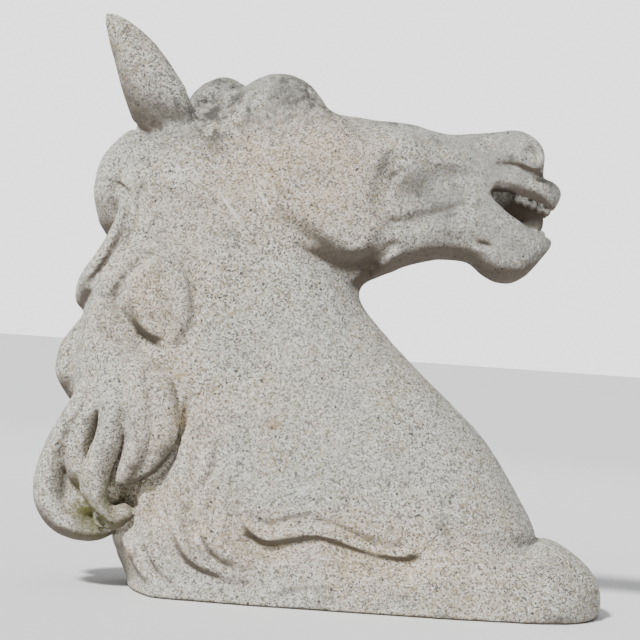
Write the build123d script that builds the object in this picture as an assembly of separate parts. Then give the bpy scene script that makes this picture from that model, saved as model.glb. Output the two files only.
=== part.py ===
"""A giant cast-stone chess knight for the lawn: a horse's head and neck on a flat base.

Millimetres, +Z up. The horse looks along +X, its left side is +Y and its base stands on Z = 0.
Four castings make the stone: the head and neck, two ears and the hanging lock of the mane. Each
small casting sits on a bed of mortar and on steel dowels. Steel bars, links, mortar spacers and
lifting sockets are cast into the head and neck.
"""

from build123d import *
import math
import os

# Outer form
BASE_HALF_WIDTH = 96.0
ROLL_HALF_WIDTH = 114.0
NECK_HALF_WIDTH = 66.0
EAR_SPREAD = 42.0  # from the middle plane to an ear's seat
EAR_SPLAY = 0.06  # how far an ear leans outwards for each millimetre of rise
SECTION_POINTS = 14  # points on a closed section curve

# Joints between the castings
BED = 3.0  # thickness of the mortar
DOWEL_RADIUS = 4.0
DOWEL_GRIP = 30.0  # length of a dowel in each casting
LOCK_DOWELS = {"upper_lock_dowel": -8.0, "lower_lock_dowel": 38.0}  # places down the lock's seat
EAR_SEAT = (-203.0, 505.0)  # X and Z of the middle of an ear's seat
EAR_SEAT_SLOPE = 26.0  # degrees, rising towards the front
EAR_ROOM = (88.0, 72.0, 130.0)  # the space over the seat that holds nothing but the ear
EAR_ROOM_OUTWARDS = 8.0  # the middle of that space from the seat's middle, along Y
LOCK_SEAT = (-253.0, 126.0)  # X and Z of the middle of the lock's seat
LOCK_SEAT_SLOPE = 68.2  # degrees below the horizon, from the top of the seat to its foot
LOCK_ROOM = (151.0, 220.0, 120.0)

# Reinforcement
BAR_RADIUS = 5.0
LINK_RADIUS = 3.0
BEND_RADIUS = 60.0
SPINE_SIDE = 30.0  # from the middle plane to each spine bar
BAR_FOOT = 34.0  # height of the feet of the long bars
LINK_GAP = 14.0  # from the centre line of a bar to that of a link round it
LINK_CORNER = 20.0
LINK_HEIGHTS = {"lower_link": 100.0, "middle_link": 190.0, "upper_link": 280.0}
CREST_BAR = [(-165.0, BAR_FOOT), (-185.0, 250.0), (-180.0, 450.0)]  # X and Z
THROAT_BAR = [(170.0, BAR_FOOT), (120.0, 140.0), (-20.0, 318.0)]
SPINE_BAR = [(-60.0, BAR_FOOT), (-95.0, 250.0), (-130.0, 430.0)]
MUZZLE_BAR = [(-150.0, 462.0), (165.0, 472.0)]
JAW_BAR = [(-60.0, 412.0), (165.0, 376.0)]

# Base ring, its spacers, and the lifting sockets
COVER = 26.0  # stone under the base ring
RING = (-150.0, 235.0, 62.0)  # rear, front and half-width, on the centre line
RING_CORNER = 40.0
SPACER_SIDE = 30.0
SPACER_PLACES = (-65.0, 55.0, 175.0)  # along X, on both sides of the ring
SOCKET_RADIUS = 11.0
SOCKET_LENGTH = 90.0
SOCKET_BORE = 6.9  # an M16 thread at its minor diameter
SOCKET_BORE_DEPTH = 55.0
SOCKETS = {"rear": -90.0, "front": 110.0}  # along X
CROSSBAR_RADIUS = 4.0
CROSSBAR_LENGTH = 120.0
CROSSBAR_HEIGHT = 75.0

AWAY = 1000.0  # longer than the knight


def section(along, at, low, high, half, swell=0.0, power=1.0):
    """A closed smooth section, symmetric about the middle plane, where the axis `along` is `at`.

    low and high are its ends in the side view and half is its half-width. swell moves the widest
    place towards the high end, and a power under 1 makes the section squarer.
    """
    middle, reach = (low + high) / 2, (high - low) / 2
    points = []
    for i in range(SECTION_POINTS):
        turn = 2 * math.pi * i / SECTION_POINTS
        c, s = math.cos(turn), math.sin(turn)
        run = middle + reach * math.copysign(abs(c) ** power, c)
        side = half * math.copysign(abs(s) ** power, s) * (1 + swell * c)
        points.append((run, side, at) if along == "Z" else (at, side, run))
    return Face(Wire([Edge.make_spline(points, periodic=True)]))


def body_of_sections(along, rows):
    """A smooth solid through the sections that the rows describe."""
    return loft([section(along, *row) for row in rows])


def strand(points, radii):
    """A thick lock of hair, round in section, in the middle plane; points are X and Z."""
    rings = []
    for i, ((x, z), radius) in enumerate(zip(points, radii)):
        before = points[max(i - 1, 0)]
        after = points[min(i + 1, len(points) - 1)]
        heading = Vector(after[0] - before[0], 0, after[1] - before[1]).normalized()
        rings.append(Plane(origin=(x, 0, z), x_dir=(0, 1, 0), z_dir=heading) * Circle(radius))
    return loft(rings)


def ellipsoid(centre, radii, lean=0.0):
    """An ellipsoid, turned by lean degrees about the Y axis."""
    return Pos(*centre) * Rot(0, lean, 0) * scale(Sphere(1), by=radii)


def both_sides(shape):
    """The shape and its mirror image across the middle plane."""
    return [shape, mirror(shape, about=Plane.XZ)]


def neck():
    """The neck and chest, from the flat base up into the skull."""
    return body_of_sections(
        "Z",
        [
            # height, rear, front, half-width, swell, power
            (0, -190, 262, BASE_HALF_WIDTH, 0.08, 0.80),
            (45, -216, 252, BASE_HALF_WIDTH + 6, 0.10, 0.84),
            (95, -224, 214, BASE_HALF_WIDTH + 3, 0.14, 0.90),
            (150, -222, 184, BASE_HALF_WIDTH - 2, 0.16, 0.95),
            (210, -226, 134, NECK_HALF_WIDTH + 19, 0.16),
            (270, -234, 66, NECK_HALF_WIDTH + 10, 0.14),
            (330, -242, 14, NECK_HALF_WIDTH, 0.10),
            (400, -238, -20, NECK_HALF_WIDTH - 8, 0.05),
            (450, -220, -60, NECK_HALF_WIDTH - 20),
        ],
    )


def base_roll():
    """The roll of mane round the foot of the neck, with its rounded front."""
    return body_of_sections(
        "Z",
        [
            (0, -186, 298, BASE_HALF_WIDTH + 4, 0.06, 0.80),
            (22, -206, 305.7, ROLL_HALF_WIDTH - 4, 0.08, 0.82),
            (48, -212, 294, ROLL_HALF_WIDTH, 0.08, 0.84),
            (72, -206, 256, ROLL_HALF_WIDTH - 10, 0.06, 0.86),
            (88, -190, 222, BASE_HALF_WIDTH - 8, 0.06, 0.88),
        ],
    )


def skull():
    """The head from the poll to the lips, with the cheeks."""
    return body_of_sections(
        "X",
        [
            # place, underside, top, half-width, swell, power
            (-226, 424, 470, 26),
            (-200, 374, 502, 54, 0.1, 0.88),
            (-150, 336, 524, 66, -0.05, 0.95),
            (-95, 340, 536, 76, -0.05, 0.92),
            (-40, 348, 524, 78, -0.10, 0.92),
            (5, 348, 510, 68, -0.08, 0.92),
            (45, 356, 506, 54, 0.02, 0.92),
            (100, 366, 499, 45, 0.06, 0.92),
            (145, 354, 504, 44, 0.04, 0.88),
            (180, 350, 505, 40, 0.0, 0.86),
            (205, 372, 482, 30),
        ],
    )


def face_forms():
    """The brows, eyes, nostrils, lips and chin that swell out of the head."""
    forms = []
    for centre, radii in (
        ((-74, 40, 503), (60, 30, 46)),
        ((-38, 56, 499), (22, 20, 18)),
        ((176, 22, 480), (30, 25, 30)),
    ):
        forms += both_sides(ellipsoid(centre, radii))
    forms.append(ellipsoid((184, 0, 447), (40, 40, 23), 8))
    forms.append(ellipsoid((160, 0, 374), (42, 34, 28)))
    forms.append(ellipsoid((178, 0, 388), (40, 33, 19), 4))
    return forms


def mouth():
    """The gap between the lips, right through from side to side."""
    outline = Polyline(
        (150, 441),
        (153, 434),
        (172, 421),
        (205, 405),
        (250, 392),
        (250, 420),
        (206, 430),
        (182, 441),
        close=True,
    )
    return extrude(Plane.XZ * make_face(outline), AWAY, both=True)


def teeth():
    """The rows of teeth with their gums, inside the lips."""
    return [ellipsoid((172, 0, 437), (36, 28, 11), 8), ellipsoid((166, 0, 404), (36, 26, 13), 12)]


def mane():
    """The crest of mane down the back of the neck, and the forelock between the ears."""
    return [
        strand([(-212, 476), (-238, 435), (-241, 385), (-222, 335)], (20, 29, 29, 24)),
        strand([(-228, 378), (-248, 315), (-246, 262), (-222, 215)], (24, 32, 34, 28)),
        ellipsoid((-143, 0, 520), (28, 17, 25), -10),
    ]


def hanging_hair():
    """The heavy curl at the foot of the mane, standing off the back of the neck."""
    return body_of_sections(
        "Z",
        [
            (49, -276, -224, 24, 0.1),
            (72, -298, -205, 50, 0.1),
            (108, -305, -180, 66, 0.1),
            (150, -294, -168, 74, 0.1),
            (196, -277, -162, 76, 0.1),
            (226, -292, -162, 70, 0.1),
            (262, -286, -170, 56, 0.1),
            (296, -268, -190, 32, 0.1),
        ],
    )


def ear(side):
    """An ear with its root in the skull; side is -1 for the right ear and 1 for the left."""
    rows = [
        # X, Z, half-length, half-thickness
        (-190, 450, 30, 12),
        (-198, 478, 35, 21),
        (-204, 508, 34, 18),
        (-218, 545, 30, 15),
        (-238, 575, 20, 11),
        (-258, 595, 8, 6),
    ]
    faces = []
    for x, z, half_length, half_thickness in rows:
        y = side * (EAR_SPREAD + EAR_SPLAY * (z - EAR_SEAT[1]))
        plane = Plane(origin=(x, y, z), x_dir=(0.86, 0, 0.5), z_dir=(-0.5, 0, 0.86))
        faces.append(plane * Ellipse(half_length, half_thickness))
    return loft(faces)


def whole_stone():
    """The stone as one solid, before it is divided into castings."""
    stone = neck() + base_roll() + skull()
    for shape in face_forms() + mane() + [hanging_hair(), ear(-1), ear(1)]:
        stone += shape
    stone -= mouth()
    for shape in teeth():
        stone += shape
    return stone


def ear_seat(side):
    """The plane of an ear's joint, facing up into the ear."""
    slope = math.radians(EAR_SEAT_SLOPE)
    return Plane(
        origin=(EAR_SEAT[0], side * EAR_SPREAD, EAR_SEAT[1]),
        x_dir=(math.cos(slope), 0, math.sin(slope)),
        z_dir=(-math.sin(slope), 0, math.cos(slope)),
    )


def lock_seat():
    """The plane of the hanging lock's joint, facing out into the lock, with X down the seat."""
    slope = math.radians(LOCK_SEAT_SLOPE)
    return Plane(
        origin=(LOCK_SEAT[0], 0, LOCK_SEAT[1]),
        x_dir=(math.cos(slope), 0, -math.sin(slope)),
        z_dir=(-math.sin(slope), 0, -math.cos(slope)),
    )


def room(seat, size, low, outwards=0.0):
    """The box over a seat from the height `low` up to the top of its room."""
    length, width, height = size
    box = Box(length, width, height - low, align=(Align.CENTER, Align.CENTER, Align.MIN))
    return seat * Pos(0, outwards, low) * box


def dowel(seat, along=0.0):
    """A dowel square to its seat, with the same grip on both sides of the mortar."""
    length = 2 * DOWEL_GRIP + BED
    return seat * Pos(along, 0, BED / 2) * Cylinder(DOWEL_RADIUS, length)


def bar(points, y=0.0, radius=BAR_RADIUS):
    """A round bar in a plane parallel to the middle plane; points are X and Z."""
    corners = [(x, y, z) for x, z in points]
    path = FilletPolyline(*corners, radius=BEND_RADIUS) if len(corners) > 2 else Line(*corners)
    return sweep(Plane(origin=path @ 0, z_dir=path % 0) * Circle(radius), path=path)


def ring(rear, front, half_width, height, corner):
    """A closed link of thin bar that lies flat, with round corners, on its centre line's sizes."""
    outline = RectangleRounded(front - rear, 2 * half_width, corner).wire()
    path = Pos((rear + front) / 2, 0, height) * outline
    return sweep(Plane(origin=path @ 0, z_dir=path % 0) * Circle(LINK_RADIUS), path=path)


def place_at_height(points, height):
    """X of a bar's centre line at a height, on its straight runs."""
    for (x0, z0), (x1, z1) in zip(points, points[1:]):
        if z0 <= height <= z1:
            return x0 + (x1 - x0) * (height - z0) / (z1 - z0)
    raise ValueError(height)


def socket(x):
    """A threaded lifting socket with its mouth in the base, and a cross hole for its bar."""
    tube = Pos(x, 0, SOCKET_LENGTH / 2) * Cylinder(SOCKET_RADIUS, SOCKET_LENGTH)
    bore = Pos(x, 0, SOCKET_BORE_DEPTH / 2) * Cylinder(SOCKET_BORE, SOCKET_BORE_DEPTH)
    return tube - bore - crossbar(x)


def crossbar(x):
    """The bar through a socket that ties it into the stone."""
    return Pos(x, 0, CROSSBAR_HEIGHT) * Rot(90, 0, 0) * Cylinder(CROSSBAR_RADIUS, CROSSBAR_LENGTH)


def spacers():
    """Mortar blocks that hold the base ring off the mould's floor, and show in the underside."""
    height = COVER - 0.5
    block = Box(SPACER_SIDE, SPACER_SIDE, height, align=(Align.CENTER, Align.CENTER, Align.MIN))
    return [Pos(x, side * RING[2], 0) * block for x in SPACER_PLACES for side in (-1, 1)]


def steelwork():
    """Every bar, link and crossbar by its name."""
    steel = {
        "right_spine_bar": bar(SPINE_BAR, -SPINE_SIDE),
        "left_spine_bar": bar(SPINE_BAR, SPINE_SIDE),
        "crest_bar": bar(CREST_BAR),
        "throat_bar": bar(THROAT_BAR),
        "muzzle_bar": bar(MUZZLE_BAR),
        "jaw_bar": bar(JAW_BAR),
        "base_ring": ring(*RING, COVER + LINK_RADIUS, RING_CORNER),
    }
    for name, height in LINK_HEIGHTS.items():
        rear = place_at_height(CREST_BAR, height) - LINK_GAP
        front = place_at_height(THROAT_BAR, height) + LINK_GAP
        steel[name] = ring(rear, front, SPINE_SIDE + LINK_GAP, height, LINK_CORNER)
    for name, x in SOCKETS.items():
        steel[f"{name}_socket_crossbar"] = crossbar(x)
    return steel


def assembly():
    """Every sub-part by its name, in place."""
    stone = whole_stone()
    parts, holes = {}, []
    seats = {"right_ear": ear_seat(-1), "left_ear": ear_seat(1), "hanging_lock": lock_seat()}
    for name, seat in seats.items():
        if name == "hanging_lock":
            size, outwards = LOCK_ROOM, 0.0
            dowels = {key: dowel(seat, along) for key, along in LOCK_DOWELS.items()}
        else:
            size, outwards = EAR_ROOM, math.copysign(EAR_ROOM_OUTWARDS, seat.origin.Y)
            dowels = {f"{name}_dowel": dowel(seat)}
        over_bed = room(seat, size, BED, outwards)
        over_seat = room(seat, size, 0, outwards)
        parts[name] = stone & over_bed
        parts[f"{name}_bed"] = (stone & over_seat) - over_bed
        for key, pin in dowels.items():
            parts[name] -= pin
            parts[f"{name}_bed"] -= pin
            parts[key] = pin
            holes.append(pin)
        stone -= over_seat
    steel = steelwork()
    parts.update(steel)
    parts["spacer_blocks"] = Compound(children=spacers())
    holes += list(steel.values()) + spacers()
    for name, x in SOCKETS.items():
        parts[f"{name}_lifting_socket"] = socket(x)
        holes.append(Pos(x, 0, SOCKET_LENGTH / 2) * Cylinder(SOCKET_RADIUS, SOCKET_LENGTH))
    for hole in holes:
        stone -= hole
    parts["head_and_neck"] = stone
    return parts


def main():
    parts = assembly()
    boxes = [part.bounding_box(optimal=True) for part in parts.values()]
    for axis in ("X", "Y", "Z"):
        low = min(getattr(box.min, axis) for box in boxes)
        high = max(getattr(box.max, axis) for box in boxes)
        print(axis, "from", round(low, 3), "to", round(high, 3))
    os.makedirs("parts", exist_ok=True)
    for name, part in parts.items():
        export_step(part, f"parts/{name}.step")


main()
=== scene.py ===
"""The looks of the giant cast-stone chess knight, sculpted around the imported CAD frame.

The stone is sculpted as a signed distance field on a grid, in millimetres, for the right half of the
horse (y below 0), and mirrored. Its mesh is then cut at the mortar joints into the castings.
"""

import math

import bmesh
import bpy
import numpy as np
import openvdb
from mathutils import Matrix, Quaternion, Vector


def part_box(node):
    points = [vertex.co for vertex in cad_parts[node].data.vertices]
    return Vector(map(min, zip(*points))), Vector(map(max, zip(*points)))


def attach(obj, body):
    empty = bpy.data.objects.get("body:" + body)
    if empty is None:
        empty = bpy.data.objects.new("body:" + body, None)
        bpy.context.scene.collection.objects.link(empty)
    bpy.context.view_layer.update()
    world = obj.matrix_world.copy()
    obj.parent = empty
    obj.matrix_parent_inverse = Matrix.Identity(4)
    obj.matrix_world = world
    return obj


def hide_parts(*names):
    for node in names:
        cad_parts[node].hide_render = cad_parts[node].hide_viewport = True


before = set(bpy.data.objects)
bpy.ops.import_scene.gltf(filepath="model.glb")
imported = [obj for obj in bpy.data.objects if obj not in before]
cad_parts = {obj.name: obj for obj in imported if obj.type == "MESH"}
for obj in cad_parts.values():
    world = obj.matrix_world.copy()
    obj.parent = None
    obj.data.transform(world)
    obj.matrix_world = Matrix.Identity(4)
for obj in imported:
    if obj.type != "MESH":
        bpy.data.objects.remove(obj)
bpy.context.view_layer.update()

VOXEL = 2.5  # millimetres
GRID_LOW = (-322.5, -126.25, -6.25)
GRID_HIGH = (322.5, 0.0, 616.25)
FAR = 40.0  # a distance that means well outside
SURFACE_SEED = 7
MOST_TRIANGLES = 200000  # in the whole stone


# ------------------------------------------------------------
# The grid and its shapes
# ------------------------------------------------------------

AXES = [np.arange(low, high + VOXEL / 2, VOXEL) for low, high in zip(GRID_LOW, GRID_HIGH)]
AXES[1] = AXES[1] - AXES[1][-1]  # the last layer lies in the middle plane
PLANE_X, PLANE_Z = np.meshgrid(AXES[0], AXES[2], indexing="ij")


def eased(s, i, width, levels, slopes):
    """The level a share s of the way from row i to the next, which lies width further on."""
    return (
        (2 * s**3 - 3 * s**2 + 1) * levels[i]
        + (s**3 - 2 * s**2 + s) * width * slopes[i]
        + (3 * s**2 - 2 * s**3) * levels[i + 1]
        + (s**3 - s**2) * width * slopes[i + 1]
    )


def through(points, count):
    """A smooth curve through the points, which may be closed by repeating the first."""
    points = np.array(points, float)
    closed = np.allclose(points[0], points[-1])
    steps = np.linalg.norm(np.diff(points, axis=0), axis=1) ** 0.5
    at = np.concatenate([[0.0], np.cumsum(steps)])
    if closed:
        before, after = points[-2], points[1]
        padded = np.vstack([before, points, after])
        places = np.concatenate([[-steps[-1]], at, [at[-1] + steps[0]]])
    else:
        padded = np.vstack([2 * points[0] - points[1], points, 2 * points[-1] - points[-2]])
        places = np.concatenate([[-steps[0]], at, [at[-1] + steps[-1]]])
    slopes = (padded[2:] - padded[:-2]) / (places[2:] - places[:-2])[:, None]
    t = np.linspace(0, at[-1], count)
    i = np.clip(np.searchsorted(at, t, side="right") - 1, 0, len(at) - 2)
    width = (at[i + 1] - at[i])[:, None]
    s = ((t - at[i]) / (at[i + 1] - at[i]))[:, None]
    return eased(s, i, width, points, slopes)


def outline_distance(points, smooth=True):
    """Signed distance to a closed outline in the side view, on the grid's X and Z; negative inside."""
    corners = np.array(list(points) + [points[0]], float)
    if smooth:
        corners = through(corners, 6 * len(points) + 1)
    best = np.full(PLANE_X.shape, 1e9)
    inside = np.zeros(PLANE_X.shape, bool)
    for (x0, z0), (x1, z1) in zip(corners[:-1], corners[1:]):
        dx, dz = x1 - x0, z1 - z0
        share = ((PLANE_X - x0) * dx + (PLANE_Z - z0) * dz) / (dx * dx + dz * dz + 1e-12)
        share = np.clip(share, 0, 1)
        away = np.square(PLANE_X - x0 - share * dx) + np.square(PLANE_Z - z0 - share * dz)
        best = np.minimum(best, away)
        if z0 != z1:
            crosses = (z0 > PLANE_Z) != (z1 > PLANE_Z)
            inside ^= crosses & (PLANE_X < x0 + dx * (PLANE_Z - z0) / dz)
    return np.sqrt(best) * np.where(inside, -1, 1)


def along(values, table):
    """Values looked up smoothly in a table of (place, value) rows."""
    places, levels = np.array(table, float).T
    at = np.interp(values, places, np.arange(len(places)))
    i = np.clip(at.astype(int), 0, len(places) - 2)
    s = at - i
    slopes = np.gradient(levels, places)
    return eased(s, i, places[i + 1] - places[i], levels, slopes)


def by_x(*table):
    return along(PLANE_X, table)


def by_z(*table):
    return along(PLANE_Z, table)


def padded_form(outline, half_width, edge, power=2.0, centre=0.0, smooth=True):
    """A form with this outline in the side view, swelling from its edge to its half-width.

    edge is how far in from the outline the swelling ends. half_width, edge and centre (the Y of its
    middle) are numbers or arrays over the side view.
    """
    flat = outline_distance(outline, smooth)
    half_width = np.broadcast_to(half_width, flat.shape)
    edge = np.broadcast_to(edge, flat.shape)
    centre = np.broadcast_to(centre, flat.shape)
    u = np.maximum(1 + flat / edge, 1e-3)[:, None, :]
    v = (np.abs(AXES[1][None, :, None] - centre[:, None, :]) / half_width[:, None, :]) + 1e-4
    reach = (u**power + v**power) ** (1 / power)
    slope = np.sqrt(
        np.square((u / reach) ** (power - 1) / edge[:, None, :])
        + np.square((v / reach) ** (power - 1) / half_width[:, None, :])
    )
    return (slice(None), slice(None), slice(None)), (reach - 1) / slope


def window(low, high):
    """The part of the grid between two corners, as slices, and its open axes."""
    cut, open_axes = [], []
    for i in range(3):
        first = int(np.clip(np.searchsorted(AXES[i], low[i]) - 1, 0, len(AXES[i]) - 1))
        last = int(np.clip(np.searchsorted(AXES[i], high[i]) + 1, first + 1, len(AXES[i])))
        cut.append(slice(first, last))
        shape = [1, 1, 1]
        shape[i] = last - first
        open_axes.append(AXES[i][first:last].reshape(shape))
    return tuple(cut), open_axes


def ball(centre, radii, lean=0.0, turn=0.0, margin=30.0):
    """An ellipsoid. lean turns it about Y, nose down, and turn then turns it about Z, in degrees."""
    reach = max(radii) + margin
    cut, (x, y, z) = window([c - reach for c in centre], [c + reach for c in centre])
    x, y, z = x - centre[0], y - centre[1], z - centre[2]
    c, s = math.cos(math.radians(turn)), math.sin(math.radians(turn))
    x, y = x * c + y * s, y * c - x * s
    c, s = math.cos(math.radians(lean)), math.sin(math.radians(lean))
    x, z = x * c - z * s, z * c + x * s
    level = np.sqrt(np.square(x / radii[0]) + np.square(y / radii[1]) + np.square(z / radii[2]))
    slope = np.sqrt(
        np.square(x / radii[0] ** 2) + np.square(y / radii[1] ** 2) + np.square(z / radii[2] ** 2)
    )
    return cut, (level - 1) * level / np.maximum(slope, 1e-6)


def lock(points, radii, flat=1.0, margin=14.0, count=None):
    """A tapering strand through the points, flat times as thick across (along Y) as it is high."""
    count = count or 5 * len(points)
    path = through(points, count)
    radii = np.interp(np.linspace(0, 1, count), np.linspace(0, 1, len(radii)), radii)
    spread = np.max(radii) + margin
    reach = np.array([spread, spread * max(flat, 1.0), spread])
    cut, (x, y, z) = window(path.min(0) - reach, path.max(0) + reach)
    best = np.full(np.broadcast(x, y, z).shape, 1e3)
    for a, b, ra, rb in zip(path[:-1], path[1:], radii[:-1], radii[1:]):
        step = (b - a) / (1, flat, 1)
        px, py, pz = x - a[0], (y - a[1]) / flat, z - a[2]
        share = (px * step[0] + py * step[1] + pz * step[2]) / (step @ step + 1e-9)
        share = np.clip(share, 0, 1)
        gap = np.sqrt(
            np.square(px - share * step[0])
            + np.square(py - share * step[1])
            + np.square(pz - share * step[2])
        )
        best = np.minimum(best, gap - ra - share * (rb - ra))
    return cut, best


class Clay:
    """The right half of the stone as a field of distances to its surface."""

    def __init__(self):
        self.field = np.full([len(a) for a in AXES], FAR)

    def add(self, shape, blend=0.0):
        cut, distance = shape
        here = self.field[cut]
        if blend:
            overlap = np.maximum(blend - np.abs(here - distance), 0)
            self.field[cut] = np.minimum(here, distance) - np.square(overlap) / (4 * blend)
        else:
            self.field[cut] = np.minimum(here, distance)

    def cut(self, shape, blend=0.0):
        cut, distance = shape
        here = self.field[cut]
        if blend:
            overlap = np.maximum(blend - np.abs(here + distance), 0)
            self.field[cut] = np.maximum(here, -distance) + np.square(overlap) / (4 * blend)
        else:
            self.field[cut] = np.maximum(here, -distance)

    def skin(self):
        """The Y of the outermost surface at each X and Z of the side view."""
        solid = self.field < 0
        first = np.argmax(solid, axis=1)
        i, k = np.indices(first.shape)
        outer = self.field[i, np.maximum(first - 1, 0), k]
        inner = self.field[i, first, k]
        share = np.clip(outer / np.where(outer == inner, 1, outer - inner), 0, 1)
        y = AXES[1][np.maximum(first - 1, 0)] + share * VOXEL
        return np.where(solid.any(axis=1), y, 0.0)

    def on_skin(self, points, lift=0.0, skin=None):
        """The (x, z) points set on the surface of the right side, lifted outwards."""
        skin = self.skin() if skin is None else skin
        placed = []
        for x, z in points:
            i = int(np.clip(round((x - AXES[0][0]) / VOXEL), 0, len(AXES[0]) - 1))
            k = int(np.clip(round((z - AXES[2][0]) / VOXEL), 0, len(AXES[2]) - 1))
            placed.append((x, skin[i, k] - lift, z))
        return placed

    def groove(self, points, radii, lift=0.0, blend=4.0, flat=1.0):
        """A groove along (x, z) points on the right side's surface."""
        line = through(points, 4 * len(points))
        self.cut(lock(self.on_skin(line, lift), radii, flat, count=6 * len(points)), blend)

    def ridge(self, points, radii, lift=0.0, blend=6.0, flat=1.0):
        """A raised strand along (x, z) points on the right side's surface."""
        line = through(points, 4 * len(points))
        self.add(lock(self.on_skin(line, lift), radii, flat, count=6 * len(points)), blend)


# ------------------------------------------------------------
# The horse
# ------------------------------------------------------------

NECK = [
    (-192, -40), (-203, 8), (-216, 35), (-222, 60), (-214, 120), (-214, 180), (-222, 240),
    (-232, 300), (-238, 360), (-236, 420), (-218, 470), (-170, 490), (-90, 480), (-30, 430),
    (0, 362), (16, 330), (34, 302), (71, 266), (117, 224), (160, 186), (192, 143), (209, 116),
    (221, 95), (232, 66), (240, 30), (246, -40),
]
HEAD = [
    (-224, 440), (-222, 474), (-205, 500), (-166, 514), (-123, 526), (-80, 533), (-45, 526),
    (-15, 514), (9, 513), (31, 511), (68, 509), (90, 505), (104, 502), (118, 502), (136, 505),
    (157, 508), (174, 508), (188, 502), (200, 491), (207, 474), (209, 455), (209, 430),
    (204, 400), (196, 374), (176, 354), (158, 356), (144, 363), (128, 367), (104, 367),
    (73, 359), (57, 352), (37, 342), (17, 333), (-10, 328), (-60, 343), (-120, 350), (-200, 395),
]
CHEEK = [
    (46, 488), (55, 479), (50, 466), (42, 448), (39, 427), (43, 410), (47, 397), (45, 384),
    (38, 368), (20, 351), (-5, 347), (-40, 357), (-90, 372), (-125, 400), (-135, 450),
    (-120, 495), (-70, 512), (-10, 500),
]
EAR = [
    (-262, 598), (-244, 594), (-216, 575), (-199, 557), (-184, 537), (-173, 520), (-168, 500),
    (-172, 470), (-212, 462), (-222, 476), (-234, 500), (-247, 533), (-258, 569), (-264, 592),
]
UPPER_LIP = [
    (150, 464), (170, 466), (186, 465), (206, 462), (221, 458), (229, 450), (229, 441), (224, 430),
    (217, 425), (204, 432), (186, 438), (164, 443), (148, 446),
]
LOWER_LIP = [
    (146, 440), (158, 431), (172, 421), (190, 411), (206, 405), (216, 402), (222, 397),
    (222, 389), (214, 377), (205, 365), (195, 355), (184, 349), (171, 347), (157, 351),
    (145, 361), (138, 380), (136, 410),
]
BAND = [
    (-190, -40), (-203, 8), (-216, 35), (-222, 58), (-190, 90), (-160, 96), (-130, 86), (-106, 96),
    (-93, 87), (-80, 67), (-61, 59), (-36, 64), (-7, 70), (22, 62), (52, 54), (81, 51), (110, 58),
    (139, 56), (165, 47), (187, 31), (215, 0), (240, -40),
]
ROLL = [
    (60, -40), (60, 30), (80, 56), (101, 72), (148, 79), (203, 74), (234, 78), (250, 75),
    (265, 67), (281, 55), (293, 42), (300, 27), (301, 13), (298, -4), (288, -40),
]
UPPER_STRAND = [
    (-97, 112), (-89, 99), (-76, 89), (-60, 84), (-39, 90), (-16, 92), (21, 83), (58, 73),
    (95, 76), (105, 60), (80, 50), (52, 50), (22, 56), (-7, 62), (-36, 58), (-61, 52), (-84, 64),
]
TOOTH = (4.8, 4, 6.5)  # half its length, breadth and height


def torso(clay):
    """The neck, the chest and the head's plain masses."""
    neck_half = by_z(
        (-40, 90), (0, 94), (45, 99), (95, 98), (150, 93), (210, 84), (270, 75), (330, 68), (400, 60),
        (500, 48),
    )
    neck_edge = by_z(
        (-40, 120), (60, 130), (150, 128), (230, 105), (300, 78), (350, 60), (420, 56), (500, 50)
    )
    clay.add(padded_form(NECK, neck_half, neck_edge, 2.2))
    head_half = by_x(
        (-224, 46), (-196, 56), (-150, 60), (-95, 62), (-40, 60), (5, 57), (49, 52), (90, 43),
        (120, 38), (150, 36), (180, 34), (200, 30), (212, 24),
    )
    head_edge = by_x(
        (-224, 50), (-150, 60), (-40, 58), (20, 50), (60, 42), (120, 38), (180, 34), (212, 30)
    )
    jaw_edge = by_z((330, 20), (365, 22), (395, 40), (430, 70))
    head_edge = np.where(PLANE_X > 30, np.minimum(head_edge, jaw_edge), head_edge)
    clay.add(padded_form(HEAD, head_half, head_edge, 2.1), 22)
    cheek_half = by_x((-135, 62), (-90, 69), (-40, 71), (0, 68), (30, 64), (56, 59))
    cheek_edge = by_x((-135, 70), (-90, 60), (-20, 40), (20, 24), (56, 14))
    clay.add(padded_form(CHEEK, cheek_half, cheek_edge, 2.2), 5)


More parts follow.
